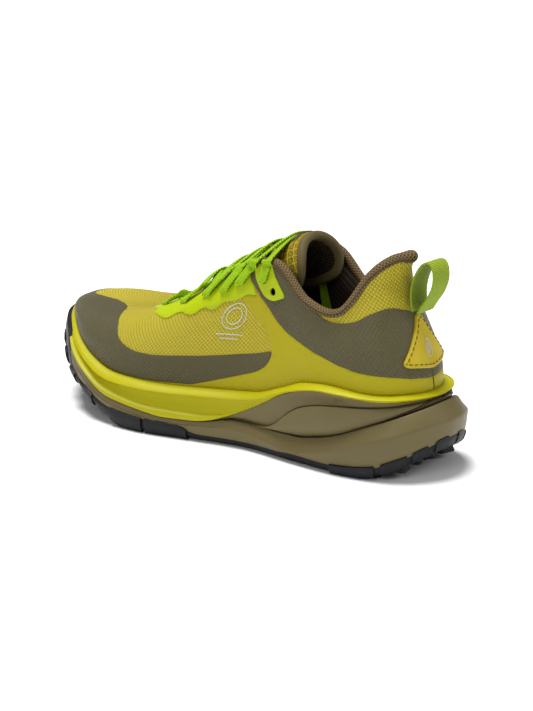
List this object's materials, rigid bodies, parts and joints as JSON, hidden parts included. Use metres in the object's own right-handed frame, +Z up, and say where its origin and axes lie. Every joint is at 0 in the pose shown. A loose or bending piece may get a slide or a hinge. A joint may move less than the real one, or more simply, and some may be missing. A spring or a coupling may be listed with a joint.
{
  "type": "running shoe",
  "caption": "Left low-cut trail running shoe with a rockered foam sole, lugged rubber outsole, laced mesh upper, padded tongue and a heel pull loop.",
  "frame": {"origin": "on the ground under the middle of the shoe's box", "axes": "+X from heel to toe, +Y to the outer (lateral) side of this left shoe, +Z up"},
  "size_m": [0.2981, 0.1094, 0.1268],
  "materials": {
    "rubber": "matte",
    "foam_khaki": "satin",
    "foam_yellow": "satin",
    "board": "matte",
    "insole_foam": "matte",
    "insole_cloth": "matte",
    "mesh": "satin",
    "film_khaki": "satin",
    "film_mustard": "satin",
    "film_lime": "satin",
    "stiffener": "matte",
    "padding": "matte",
    "lining": "matte",
    "collar_knit": "matte",
    "patch": "satin",
    "webbing": "matte",
    "tongue_knit": "matte",
    "tongue_trim": "matte",
    "lace": "matte",
    "aglet": "gloss"
  },
  "bodies": {
    "root": {"outsole": "rubber", "midsole_base": "foam_khaki", "heel_cradle": "foam_khaki", "midsole_foam": "foam_yellow", "strobel_board": "board", "insole": "insole_foam", "insole_cover": "insole_cloth", "upper_mesh": "mesh", "toe_puff": "stiffener", "toe_cap": "film_khaki", "foxing_film": "film_mustard", "quarter_lateral": "film_khaki", "quarter_medial": "film_khaki", "eyestay_lateral": "film_lime", "eyestay_medial": "film_lime", "eyelet_tab_lateral": "film_lime", "eyelet_tab_medial": "film_lime", "heel_counter": "stiffener", "collar_foam": "padding", "collar_lining": "lining", "collar_binding": "collar_knit", "heel_patch": "patch", "lace": "lace", "lace_end_lateral": "lace", "lace_end_medial": "lace", "aglet_lateral": "aglet", "aglet_medial": "aglet"},
    "tongue": {"tongue_cover": "tongue_knit", "tongue_foam": "padding", "tongue_lining": "lining", "tongue_binding": "tongue_trim", "tongue_strip": "film_khaki"},
    "pull_loop": {"pull_loop": "webbing"}
  },
  "joints": [
    {"name": "tongue_tilt", "type": "hinge", "parent": "root", "child": "tongue", "pos_m": [0.053, 0, 0.058], "axis": [0, -1, 0], "range_deg": [0, 10], "stiffness_Nm_per_rad": 1.2},
    {"name": "pull_loop_swing", "type": "hinge", "parent": "root", "child": "pull_loop", "pos_m": [-0.124, 0, 0.09], "axis": [0, -1, 0], "range_deg": [0, 35], "stiffness_Nm_per_rad": 0.03}
  ]
}
